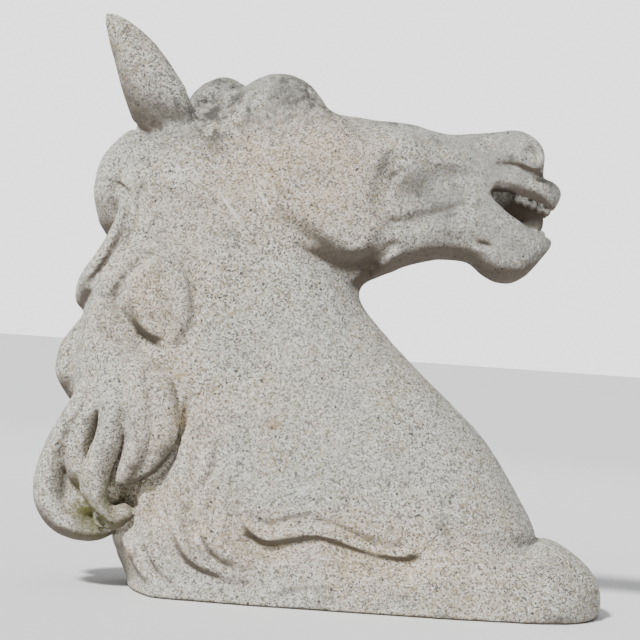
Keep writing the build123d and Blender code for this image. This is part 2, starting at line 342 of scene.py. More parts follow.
def face(clay):
    """The brows, nostrils, lips, chin, mouth and teeth."""
    clay.add(ball((-76, -32, 507), (46, 30, 43)), 20)
    clay.add(ball((-24, -50, 493), (34, 14, 17), lean=34), 14)
    clay.add(ball((178, -17, 479), (30, 22, 30)), 10)
    clay.add(ball((57, -39, 462), (24, 18, 32)), 10)
    lip_half = by_x((140, 38), (170, 38), (195, 34), (212, 27), (224, 16), (230, 8))
    clay.add(padded_form(UPPER_LIP, lip_half, 13, 2.2), 5)
    jaw_half = by_x((130, 34), (160, 35), (190, 31), (208, 24), (220, 13))
    jaw_edge = by_x((130, 30), (160, 24), (200, 16), (220, 12))
    clay.add(padded_form(LOWER_LIP, jaw_half, jaw_edge, 2.2), 8)
    mouth = [
        (151, 441), (156, 446), (170, 445), (190, 440), (208, 434), (226, 426), (260, 412),
        (260, 380), (222, 397), (206, 403), (190, 410), (172, 420), (156, 433),
    ]
    clay.cut(padded_form(mouth, 200, 1.5, 2, smooth=False), 2)
    tongue = [(140, 445), (170, 446), (204, 436), (212, 424), (210, 405), (190, 400), (150, 425)]
    clay.add(padded_form(tongue, by_x((140, 7), (180, 8), (205, 9), (212, 7)), 6), 2)
    for i in range(5):
        share = i / 4
        x, y = 182 + 32 * share, -23 + 11 * share**2
        clay.add(ball((x, y, 437 - 11 * share), TOOTH, lean=14, margin=10), 2.5)
        if i > 2:
            clay.add(ball((x - 4, y + 1, 406 - 6 * share), TOOTH, lean=24, margin=10), 2.5)
    # the nostril: its swelling, its hollow and the hole in front
    clay.add(ball((187, -26, 481), (20, 14, 23), lean=-15, turn=-14), 4)
    clay.cut(ball((195, -46, 484), (15, 11, 18), lean=-20, turn=-24), 2)
    clay.cut(ball((207, -22, 479), (6, 6, 9), turn=-30), 5)
    over_lip = [(156, 470), (170, 470), (184, 467), (199, 463), (212, 460)]
    clay.groove(over_lip, (2, 3, 4, 4, 3), lift=0, blend=3)


def muzzle_marks(clay):
    """Hollows and creases on the cheek and the side of the muzzle."""
    crease = [
        (58, 480), (54, 470), (47, 462), (52, 455), (45, 444), (41, 428), (44, 410), (49, 398),
        (47, 384),
    ]
    clay.groove(crease, (2, 3, 3, 4, 3, 3, 3, 3, 2), lift=1, blend=3)
    side = [(49, 399), (66, 402), (84, 408), (106, 415), (122, 422)]
    clay.groove(side, (4, 6, 6, 6, 3), lift=3.5, blend=9)
    clay.cut(ball((108, -45, 452), (16, 8, 13)), 12)
    below_cheek = [(50, 375), (38, 360), (22, 350), (2, 347), (-20, 354), (-48, 366)]
    clay.groove(below_cheek, (6, 9, 10, 9, 7, 3), lift=2, blend=8)
    clay.cut(ball((147, -36, 385), (9, 5, 3), lean=8), 3)
    # the slanting underside of the jaw, back into the throat
    under = [
        (8, -74, 332), (30, -68, 340), (52, -60, 346), (78, -54, 355), (104, -50, 361), (130, -46, 361)
    ]
    clay.cut(lock(under, (10, 15, 17, 17, 16, 10)), 4)


def one_ear(clay):
    """The right ear, cupped on its front and inner side, and the crease at its root."""
    half = by_z((455, 8), (480, 13), (505, 17), (530, 17), (570, 12), (600, 6))
    middle = by_z((455, -26), (480, -35), (505, -42), (600, -50))
    edge = by_z((455, 22), (520, 22), (570, 14), (600, 8))
    clay.add(padded_form(EAR, half, edge, 2.0, centre=middle), 10)
    cup = [(-186, -26, 516), (-200, -31, 541), (-222, -37, 564), (-240, -42, 581)]
    clay.cut(lock(cup, (9, 12, 9, 3), flat=0.9), 5)
    clay.cut(ball((-168, -40, 523), (6, 14, 7), lean=-30), 4)
    root = [(-238, 491), (-229, 486), (-220, 480), (-212, 476)]
    clay.groove(root, (4, 3, 2.5, 1.5), lift=0.5, blend=4)


def mane(clay):
    """The forelock, the crest and the locks of the mane down to the big hanging lock."""
    forelock = [(-174, 0, 498), (-160, -4, 521), (-142, -5, 533), (-132, -5, 533), (-110, -4, 525)]
    clay.add(lock(forelock, (8, 10, 11, 11, 7), flat=1.4), 7)
    beside_forelock = [(-172, -12, 502), (-158, -19, 518), (-136, -20, 521), (-110, -16, 522)]
    clay.add(lock(beside_forelock, (7, 9, 9, 5)), 6)
    # the crest, from the poll down the back
    crest = [
        (-196, -2, 476), (-224, -6, 464), (-241, -9, 440), (-246, -9, 412), (-243, -8, 388),
        (-234, -6, 366),
    ]
    clay.add(lock(crest, (15, 19, 22, 21, 17, 11), flat=1.5), 8)
    backing = [
        (-212, 482), (-240, 452), (-248, 410), (-240, 382), (-238, 352), (-252, 322), (-260, 290),
        (-266, 262), (-268, 236), (-240, 215), (-200, 215), (-190, 300), (-200, 400), (-190, 470),
    ]
    backing_half = by_z((210, 62), (300, 56), (360, 54), (430, 54), (480, 36))
    clay.add(padded_form(backing, backing_half, 24), 4)
    # the strand that hooks round under the ear
    hook = [(-236, 462), (-224, 453), (-211, 439), (-203, 420), (-201, 398), (-206, 376)]
    clay.ridge(hook, (6, 8, 8, 8, 7, 4), -3, 5)
    # the long strand that makes the second bulge of the back
    bulge = [
        (-228, -46, 408), (-228, -46, 385), (-236, -42, 360), (-248, -34, 338), (-259, -22, 318),
        (-264, -8, 302),
    ]
    clay.add(lock(bulge, (8, 12, 13, 14, 16, 15), flat=1.3), 5)
    before_bulge = [
        (-239, 420), (-230, 411), (-225, 396), (-228, 376), (-236, 354), (-248, 332), (-262, 316)
    ]
    clay.groove(before_bulge, (3, 5, 5, 5, 5, 4, 3), 0, 3)
    below_hook = [(-208, 376), (-216, 350), (-230, 328), (-242, 308), (-248, 290)]
    clay.ridge(below_hook, (5, 11, 13, 14, 11), -7, 8)
    # the leaf, its rim and the lines inside and round it
    leaf = [
        (-184, 356), (-203, 351), (-220, 334), (-227, 313), (-224, 294), (-214, 272), (-202, 260),
        (-184, 252), (-168, 251), (-159, 264), (-157, 283), (-161, 308), (-171, 334),
    ]
    clay.add(padded_form(leaf, 70, 14, 2.2), 4)
    rim = [(-205, 356), (-188, 352), (-175, 338), (-166, 314), (-162, 288), (-165, 264)]
    clay.ridge(rim, (4, 8, 11, 12, 11, 6), -3, 3)
    for points, radii, lift, blend in (
        ([(-158, 334), (-150, 308), (-147, 286), (-152, 262)], (2, 4, 5, 3), 1, 4),
        ([(-204, 343), (-188, 317), (-177, 288), (-178, 262)], (2, 3, 4, 3), 0.5, 3),
        ([(-214, 318), (-206, 304), (-198, 288), (-190, 270), (-186, 258)], (1, 2, 3, 3, 2), 1, 3),
    ):
        clay.groove(points, radii, lift, blend)
    below_leaf = [(-226, 322), (-232, 304), (-226, 286), (-214, 270), (-198, 259), (-180, 251)]
    clay.groove(below_leaf, (3, 5, 6, 5, 4, 2), 1, 4)
    # the shoulder of the hanging lock and the bulge behind it
    shoulder = [
        (-258, 312), (-240, 290), (-226, 272), (-206, 261), (-184, 254), (-168, 240), (-159, 218),
        (-155, 190), (-158, 160), (-168, 134), (-190, 118), (-214, 118), (-232, 150), (-262, 180),
        (-276, 200), (-282, 230), (-274, 270),
    ]
    shoulder_half = by_x((-285, 34), (-262, 60), (-235, 80), (-200, 89), (-150, 91))
    shoulder_edge = by_x((-285, 26), (-230, 34), (-185, 40), (-150, 30))
    clay.add(padded_form(shoulder, shoulder_half, shoulder_edge, 2.1), 4)
    behind = [(-268, -2, 268), (-279, -4, 245), (-281, -5, 222), (-272, -5, 200)]
    clay.add(lock(behind, (10, 13, 13, 9), flat=1.8), 4)


def hanging_lock(clay):
    """The strands of the big hanging lock, with the deep gaps between them."""
    body = [
        (-240, 210), (-262, 180), (-282, 150), (-292, 115), (-290, 85), (-276, 66), (-256, 60),
        (-238, 64), (-226, 70), (-206, 84), (-200, 112), (-180, 130), (-170, 170), (-190, 210),
    ]
    body_half = by_x((-295, 20), (-270, 44), (-230, 58), (-190, 66))
    clay.add(padded_form(body, body_half, 24, 2.0), 4)
    rearmost = [
        (-240, -50, 222), (-254, -46, 198), (-267, -40, 172), (-281, -34, 142), (-290, -30, 112),
        (-289, -30, 88), (-276, -32, 70), (-257, -36, 62), (-238, -38, 60), (-226, -36, 62),
    ]
    inner = [
        (-240, -62, 212), (-246, -60, 190), (-255, -54, 165), (-262, -50, 140), (-258, -50, 118),
        (-246, -50, 104),
    ]
    middle = [
        (-226, -72, 222), (-225, -76, 190), (-228, -74, 160), (-237, -70, 130), (-241, -68, 104),
        (-235, -66, 84), (-221, -64, 76), (-209, -64, 82),
    ]
    forward = [(-204, -76, 226), (-198, -80, 196), (-196, -80, 160), (-202, -78, 136), (-210, -74, 116)]
    foremost = [(-180, -78, 216), (-173, -82, 186), (-174, -80, 156), (-188, -76, 128), (-206, -72, 116)]
    for points, radii, flat in (
        (rearmost, (12, 15, 16, 16, 16, 16, 16, 15, 13, 8), 1.6),
        (inner, (9, 12, 12, 12, 12, 7), 1.2),
        (middle, (13, 15, 15, 15, 14, 14, 13, 9), 1.1),
        (forward, (14, 16, 15, 13, 8), 1.1),
        (foremost, (14, 15, 14, 11, 6), 1.0),
    ):
        clay.add(lock(points, radii, flat), 4)
    rear_gap = [
        (-246, -80, 206), (-262, -78, 180), (-274, -74, 155), (-277, -70, 132), (-270, -70, 108),
        (-256, -70, 90), (-240, -70, 78), (-226, -72, 68),
    ]
    clay.cut(lock(rear_gap, (3, 5, 7, 8, 9, 9, 8, 5), 1.8), 4)
    middle_gap = [
        (-238, -92, 200), (-238, -88, 182), (-244, -84, 158), (-250, -80, 136), (-252, -80, 116)
    ]
    clay.cut(lock(middle_gap, (2, 4, 6, 6, 4), 1.6), 3)
    front_gap = [
        (-207, -100, 182), (-209, -96, 158), (-217, -92, 136), (-223, -88, 112), (-218, -86, 94)
    ]
    clay.cut(lock(front_gap, (2, 4, 7, 8, 5), 1.6), 3)
    # the undercut down its right edge
    undercut = [
        (-151, -80, 216), (-152, -78, 188), (-156, -77, 160), (-168, -77, 134), (-188, -76, 116),
        (-206, -74, 108),
    ]
    clay.cut(lock(undercut, (2, 4, 5.5, 6, 6, 4), 1.6), 2)


def foot(clay):
    """The band and roll of mane round the base, and the strand between them and the chest."""
    band_half = by_x(
        (-215, 70), (-180, 92), (-120, 104), (-40, 109), (60, 111), (150, 110), (220, 96), (250, 80)
    )
    band_edge = by_x((-215, 60), (-150, 30), (-60, 22), (100, 18), (190, 14))
    clay.add(padded_form(BAND, band_half, band_edge, 2.2), 3)
    strand_half = by_x((-100, 98), (-40, 101), (60, 102), (110, 99))
    clay.add(padded_form(UPPER_STRAND, strand_half, 16, 2.0), 7)
    roll_half = by_x((60, 100), (100, 107), (180, 108), (230, 104), (280, 92), (306, 80))
    roll_edge = by_x((60, 20), (140, 26), (200, 50), (250, 80), (305, 90))
    clay.add(padded_form(ROLL, roll_half, roll_edge, 2.3), 4)


def sweeping_strands(clay):
    """The strands that fall beside the hanging lock and sweep forward into the band."""
    skin = clay.skin()
    forward = [
        (-152, 190), (-146, 150), (-150, 120), (-156, 95), (-150, 70), (-134, 48), (-108, 36), (-80, 30)
    ]
    foremost = [
        (-126, 172), (-122, 140), (-126, 116), (-130, 96), (-124, 72), (-106, 54), (-84, 46), (-60, 42)
    ]
    middle = [(-176, 130), (-184, 106), (-186, 84), (-180, 60), (-168, 40), (-156, 26)]
    rearmost = [(-206, 100), (-206, 80), (-200, 56), (-190, 36), (-180, 22)]
    for points, radii, lift, flat in (
        (forward, (6, 10, 12, 13, 14, 13, 10, 6), -5, 0.9),
        (foremost, (4, 8, 11, 12, 12, 12, 10, 6), -4, 0.9),
        (middle, (6, 9, 10, 10, 9, 5), -4, 1.0),
        (rearmost, (5, 8, 8, 8, 5), -4, 1.0),
    ):
        line = through(points, 4 * len(points))
        clay.add(lock(clay.on_skin(line, lift, skin), radii, flat, count=6 * len(points)), 7)
    long_gap = [
        (-114, 158), (-117, 136), (-128, 118), (-138, 102), (-142, 88), (-136, 72), (-124, 55),
        (-112, 43), (-96, 36),
    ]
    rear_gap = [(-170, 110), (-168, 88), (-158, 62), (-146, 42), (-128, 30), (-110, 25)]
    front_gap = [(-99, 124), (-98, 106), (-93, 88), (-82, 70), (-64, 60), (-44, 61)]
    for points, radii, lift, blend in (
        (long_gap, (2, 5, 6, 6, 6, 6, 5, 4, 2), 1, 5),
        (rear_gap, (2, 4, 5, 5, 4, 2), 1, 6),
        (front_gap, (2, 5, 7, 7, 6, 4), 1, 4),
        ([(-197, 104), (-195, 84), (-190, 58), (-180, 36), (-170, 24)], (2, 4, 5, 4, 2), 1.5, 5),
        ([(-180, 112), (-178, 90), (-174, 64), (-168, 40)], (2, 4, 3, 2), 1.5, 5),
        ([(-49, 5), (-30, 15), (-10, 20)], (2, 3, 2), 1.5, 5),
    ):
        clay.groove(points, radii, lift, blend)


def band_marks(clay):
    """The folds of the band and the lip of the roll."""
    wave = [
        (-80, 66), (-61, 58), (-36, 62), (-7, 68), (22, 61), (52, 54), (81, 52), (110, 58), (139, 56),
        (165, 47), (187, 31), (205, 10),
    ]
    fold = [(-90, 100), (-74, 86), (-58, 81), (-39, 87), (-14, 90), (22, 79), (52, 68), (80, 66)]
    for points, radii, lift, blend in (
        (wave, (4, 5, 5, 5, 5, 5, 5, 5, 5, 4, 2), 1.5, 5),
        (fold, (2, 4, 4, 3, 4, 4, 2), 2, 7),
        ([(232, 70), (250, 61), (266, 50), (282, 37), (297, 22)], (2, 5, 6, 6, 4), 1.5, 6),
        ([(257, 30), (275, 24), (292, 12)], (2, 4, 3), 2, 6),
        ([(120, 84), (145, 82), (175, 77), (205, 76), (228, 79)], (2, 4, 5, 5, 3), 2, 7),
    ):
        clay.groove(points, radii, lift, blend)


def main_stone():
    clay = Clay()
    torso(clay)
    foot(clay)
    sweeping_strands(clay)
    band_marks(clay)
    mane(clay)
    hanging_lock(clay)
    one_ear(clay)
    face(clay)
    muzzle_marks(clay)
    return clay


# ------------------------------------------------------------
# From the field to the castings
# ------------------------------------------------------------

MILLIMETRE = 0.001
SWELLS = (34, 1.2)  # the stone's slow unevenness: millimetres across and in depth
DENTS = (9, 0.4)
SPACER_BREADTH = 4.5  # how much broader than high a spacer block is
BED = 3.0  # thickness of the mortar beds
# each seat plane is a point in it and the direction outwards, into the piece that sits on it
EAR_LEAN, LOCK_LEAN = math.radians(26), math.radians(68.2)
EAR_SEAT = ((-203, 0, 505), (-math.sin(EAR_LEAN), 0, math.cos(EAR_LEAN)))
LOCK_SEAT = ((-253, 0, 126), (-math.sin(LOCK_LEAN), 0, -math.cos(LOCK_LEAN)))
SHARP_EDGE = math.radians(60)
Y_ACROSS = np.concatenate([AXES[1], -AXES[1][-2::-1]])


def unevenness(cell, depth, seed):
    """Smooth random bumps over the whole grid, about cell millimetres across."""
    places = [AXES[0], Y_ACROSS, AXES[2]]
    steps = [(axis - axis[0]) / cell for axis in places]
    bumps = np.random.default_rng(seed).uniform(-depth, depth, [int(s[-1]) + 2 for s in steps])
    for i, step in enumerate(steps):
        first = step.astype(int)
        share = step - first
        shape = [1, 1, 1]
        shape[i] = -1
        share = (share * share * (3 - 2 * share)).reshape(shape)
        low = np.take(bumps, first, axis=i)
        bumps = low + (np.take(bumps, first + 1, axis=i) - low) * share
    return bumps


def cut_pocket(field, low, high, round_hole=False):
    """Cuts the place of an insert that is let into the underside, between its box's corners."""
    x, y, z = np.ix_(AXES[0], Y_ACROSS, AXES[2])
    middle = [(a + b) / 2 for a, b in zip(low, high)]
    across = np.abs(x - middle[0]), np.abs(y - middle[1])
    if round_hole:
        side = np.sqrt(np.square(across[0]) + np.square(across[1])) - (high[0] - low[0]) / 2
    else:
        side = np.maximum(across[0] - (high[0] - low[0]) / 2, across[1] - (high[1] - low[1]) / 2)
    return np.maximum(field, -np.maximum(side, z - high[2]))


def whole_field(clay):
    """Both halves of the stone, with an uneven surface, a flat underside and pockets in it."""
    field = np.concatenate([clay.field, clay.field[:, -2::-1, :]], axis=1)
    field = field + unevenness(*SWELLS, SURFACE_SEED) + unevenness(*DENTS, SURFACE_SEED + 1)
    field = np.maximum(field, -AXES[2].reshape(1, 1, -1))
    for name in ("rear_lifting_socket", "front_lifting_socket"):
        low, high = (np.array(corner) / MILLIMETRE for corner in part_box(name))
        field = cut_pocket(field, low, high, round_hole=True)
    low, high = (np.array(corner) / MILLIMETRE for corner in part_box("spacer_blocks"))
    size = high[2] - low[2] + SPACER_BREADTH
    for x in (low[0] + size / 2, (low[0] + high[0]) / 2, high[0] - size / 2):
        for y in (low[1] + size / 2, high[1] - size / 2):
            corner = (x - size / 2, y - size / 2, -size)
            field = cut_pocket(field, corner, (x + size / 2, y + size / 2, high[2]))
    return field


def surface(field):
    """The surface of the field as a mesh in metres, without any crumb that hangs in the air."""
    for axis in range(3):
        for end in (0, -1):
            np.moveaxis(field, axis, 0)[end] = FAR
    grid = openvdb.FloatGrid(background=FAR)
    grid.copyFromArray(np.ascontiguousarray(field, np.float32))
    points, quads = grid.convertToQuads(isovalue=0.0)
    points = np.asarray(points, float) * VOXEL + [AXES[0][0], Y_ACROSS[0], AXES[2][0]]
    mesh = bpy.data.meshes.new("stone")
    mesh.from_pydata((points * MILLIMETRE).tolist(), [], np.asarray(quads)[:, ::-1].tolist())
    mesh.polygons.foreach_set("use_smooth", np.ones(len(quads), bool))
    mesh.update()
    stone = bmesh.new()
    stone.from_mesh(mesh)
    crown = max(stone.verts, key=lambda v: v.co.z)
    whole = spread(crown, lambda v: True)
    bmesh.ops.delete(stone, geom=[v for v in stone.verts if v not in whole], context="VERTS")
    stone.to_mesh(mesh)
    stone.free()
    return mesh


def thinned(mesh):
    """The mesh with fewer faces where its surface is plain."""
    holder = bpy.data.objects.new("raw_stone", mesh)
    bpy.context.scene.collection.objects.link(holder)
    thinner = holder.modifiers.new("thinner", "DECIMATE")
    thinner.ratio = min(1.0, MOST_TRIANGLES / (2 * len(mesh.polygons)))
    shown = holder.evaluated_get(bpy.context.evaluated_depsgraph_get())
    thin = bpy.data.meshes.new_from_object(shown)
    bpy.data.objects.remove(holder)
    return thin


def height_over(plane, point, lift=0.0):
    """How far a point (metres) lies over a seat plane (millimetres), outwards."""
    (px, _, pz), (nx, _, nz) = plane
    return (point.x - px * MILLIMETRE) * nx + (point.z - pz * MILLIMETRE) * nz - lift * MILLIMETRE


def spread(start, allowed):
    """The vertices joined to the start through allowed ones."""
    found, edge = {start}, [start]
    while edge:
        vertex = edge.pop()
        for link in vertex.link_edges:
            other = link.other_vert(vertex)
            if other not in found and allowed(other):
                found.add(other)
                edge.append(other)
    return found


def cap(stone):
    """Closes the open ends left by the saw."""
    open_edges = [edge for edge in stone.edges if len(edge.link_faces) == 1]
    bmesh.ops.triangle_fill(stone, use_beauty=True, use_dissolve=False, edges=open_edges)
    bmesh.ops.recalc_face_normals(stone, faces=stone.faces)


def saw(mesh, start_of, plane, lift=0.0):
    """Cuts a mesh in two along a plane: the part over it that holds the start point, and the rest."""
    stone = bmesh.new()
    stone.from_mesh(mesh)
    start = min(stone.verts, key=start_of)
    over = spread(start, lambda v: height_over(plane, v.co, lift) > 0)
    faces = {face for vertex in over for face in vertex.link_faces}
    edges = {edge for face in faces for edge in face.edges}
    corners = {vertex for face in faces for vertex in face.verts}
    (px, py, pz), normal = plane
    origin = Vector((px, py, pz)) * MILLIMETRE + Vector(normal) * lift * MILLIMETRE
    near = list(corners) + list(edges) + list(faces)
    result = bmesh.ops.bisect_plane(stone, geom=near, plane_co=origin, plane_no=normal, dist=1e-7)
    seam = [item for item in result["geom_cut"] if isinstance(item, bmesh.types.BMEdge)]
    bmesh.ops.split_edges(stone, edges=seam)
    stone.verts.index_update()
    roots = min(stone.verts, key=start_of), min(stone.verts, key=lambda v: height_over(plane, v.co))
    parts = []
    for root in roots:
        kept = {v.index for v in spread(root, lambda v: True)}
        part = stone.copy()
        bmesh.ops.delete(part, geom=[v for v in part.verts if v.index not in kept], context="VERTS")
        cap(part)
        made = bpy.data.meshes.new("stone")
        part.to_mesh(made)
        part.free()
        parts.append(made)
    stone.free()
    return parts


def piece(name, mesh, node):
    """A shown piece that stands for one CAD node."""
    mesh.name = name
    made = bpy.data.objects.new(name, mesh)
    bpy.context.scene.collection.objects.link(made)
    mesh.set_sharp_from_angle(angle=SHARP_EDGE)
    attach(made, "root")
    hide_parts(node)
    return made


# how the saw picks its start: the vertex with the lowest of these values, in metres
NEVER = 9
EAR_HEIGHT_COUNTS = 4  # the tip of an ear is high first, and rearmost second
LOCK_MIDDLE, LOCK_REACH = 0.1, 0.03  # the heights where the hanging lock is rearmost


def ear_tip(side):
    """For the ear on the right (side -1) or on the left (side 1)."""
    return lambda v: v.co.x - v.co.z * EAR_HEIGHT_COUNTS + (NEVER if v.co.y * side < 0 else 0)


def lock_back(v):
    return v.co.x if abs(v.co.z - LOCK_MIDDLE) < LOCK_REACH else NEVER


def castings(mesh):
    """Cuts the stone at its mortar beds into its castings and beds."""
    made = []
    joints = (
        ("right_ear", EAR_SEAT, ear_tip(-1)),
        ("left_ear", EAR_SEAT, ear_tip(1)),
        ("hanging_lock", LOCK_SEAT, lock_back),
    )
    for name, plane, start in joints:
        over, mesh = saw(mesh, start, plane)
        outer, bed = saw(over, start, plane, BED)
        made.append(piece("stone_" + name, outer, name))
        made.append(piece("mortar_" + name, bed, name + "_bed"))
    made.append(piece("stone_head_and_neck", mesh, "head_and_neck"))
    return made


# ------------------------------------------------------------
# Finishes
# ------------------------------------------------------------


class Paint:
    """A procedural material, built up node by node."""

    def __init__(self, name):
        self.material = bpy.data.materials.new(name)
        self.material.use_nodes = True
        self.nodes = self.material.node_tree.nodes
        self.links = self.material.node_tree.links
        self.shader = self.nodes["Principled BSDF"]
        self.place = self.nodes.new("ShaderNodeTexCoord").outputs["Object"]

    def set(self, socket, value):
        if isinstance(value, bpy.types.NodeSocket):
            self.links.new(value, socket)
        else:
            socket.default_value = value

    def noise(self, scale, detail=3.0, roughness=0.55, low=0.0, high=1.0, place=None):
        """Cloudy noise stretched so that low becomes 0 and high becomes 1."""
        node = self.nodes.new("ShaderNodeTexNoise")
        self.links.new(place or self.place, node.inputs["Vector"])
        node.inputs["Scale"].default_value = scale
        node.inputs["Detail"].default_value = detail
        node.inputs["Roughness"].default_value = roughness
        return self.stretch(node.outputs["Fac"], low, high)

    def cells(self, scale, low, high):
        """Distance from scattered points, stretched."""
        node = self.nodes.new("ShaderNodeTexVoronoi")
        self.links.new(self.place, node.inputs["Vector"])
        node.inputs["Scale"].default_value = scale
        return self.stretch(node.outputs["Distance"], low, high)

    def grains(self, scale):
        """A random level for each of many small cells."""
        node = self.nodes.new("ShaderNodeTexVoronoi")
        self.links.new(self.place, node.inputs["Vector"])
        node.inputs["Scale"].default_value = scale
        split = self.nodes.new("ShaderNodeSeparateColor")
        self.links.new(node.outputs["Color"], split.inputs["Color"])
        return split.outputs["Red"]

    def stretch(self, value, low, high, to_low=0.0, to_high=1.0):
        node = self.nodes.new("ShaderNodeMapRange")
        self.links.new(value, node.inputs["Value"])
        node.inputs["From Min"].default_value = low
        node.inputs["From Max"].default_value = high
        node.inputs["To Min"].default_value = to_low
        node.inputs["To Max"].default_value = to_high
        return node.outputs["Result"]

    def maths(self, operation, first, second):
        node = self.nodes.new("ShaderNodeMath")
        node.operation = operation
        self.set(node.inputs[0], first)
        self.set(node.inputs[1], second)
        return node.outputs["Value"]

    def times(self, *values):
        result = values[0]
        for value in values[1:]:
            result = self.maths("MULTIPLY", result, value)
        return result

    def colour(self, share, first, second):
        """The first colour turning to the second as share goes from 0 to 1."""
        node = self.nodes.new("ShaderNodeMix")
        node.data_type = "RGBA"
        self.set(node.inputs["Factor"], share)
        sockets = [s for s in node.inputs if s.type == "RGBA"]
        for socket, value in zip(sockets, (first, second)):
            self.set(socket, value if isinstance(value, bpy.types.NodeSocket) else (*value, 1.0))
        return next(s for s in node.outputs if s.type == "RGBA")

    def patch(self, middle, reach, soft=0.5, turn=0.0):
        """1 inside an ellipsoid, given in millimetres, fading to 0 at its edge. turn is about Y."""
        node = self.nodes.new("ShaderNodeMapping")
        node.vector_type = "TEXTURE"
        self.links.new(self.place, node.inputs["Vector"])
        node.inputs["Location"].default_value = [c * MILLIMETRE for c in middle]
        node.inputs["Scale"].default_value = [r * MILLIMETRE for r in reach]
        node.inputs["Rotation"].default_value = (0, math.radians(turn), 0)
        length = self.nodes.new("ShaderNodeVectorMath")
        length.operation = "LENGTH"
        self.links.new(node.outputs["Vector"], length.inputs[0])
        return self.stretch(length.outputs["Value"], 1.0, 1.0 - soft)

    def facing(self):
        """The Z of the surface's direction."""
        node = self.nodes.new("ShaderNodeSeparateXYZ")
        self.links.new(self.nodes.new("ShaderNodeNewGeometry").outputs["Normal"], node.inputs[0])
        return node.outputs["Z"]

    def finish(self, colour, roughness, bumps=(), metallic=0.0):
        """Joins the colour, the roughness and (height, distance in metres) bumps to the shader."""
        self.set(self.shader.inputs["Base Color"], colour)
        self.set(self.shader.inputs["Roughness"], roughness)
        self.shader.inputs["Metallic"].default_value = metallic
        normal = None
        for height, distance in bumps:
            node = self.nodes.new("ShaderNodeBump")
            node.inputs["Strength"].default_value = 1.0
            node.inputs["Distance"].default_value = distance
            self.links.new(height, node.inputs["Height"])
            if normal:
                self.links.new(normal, node.inputs["Normal"])
            normal = node.outputs["Normal"]
        if normal:
            self.links.new(normal, self.shader.inputs["Normal"])
        return self.material


GREY_STONE = (0.56, 0.545, 0.485)
WARM_STONE = (0.63, 0.56, 0.43)
SANDY_STONE = (0.68, 0.53, 0.35)
PALE_GRAIN = (0.85, 0.85, 0.81)
DARK_GRAIN = (0.12, 0.112, 0.095)
OCHRE_GRAIN = (0.42, 0.34, 0.17)
WEATHERED_GREY = (0.33, 0.325, 0.30)
SOOT = (0.07, 0.066, 0.056)
# dark for painted shade under the jowl and jaw and in the mouth, and for grime with painted shade on
# what faces down
SHADE_AND_GRIME = (0.10, 0.078, 0.055)
LICHEN = (0.17, 0.17, 0.14)
MOSS = (0.13, 0.12, 0.03)
RUST_STAIN = (0.40, 0.22, 0.10)
PINHOLE = (0.06, 0.052, 0.042)
RUST = (0.24, 0.09, 0.035)


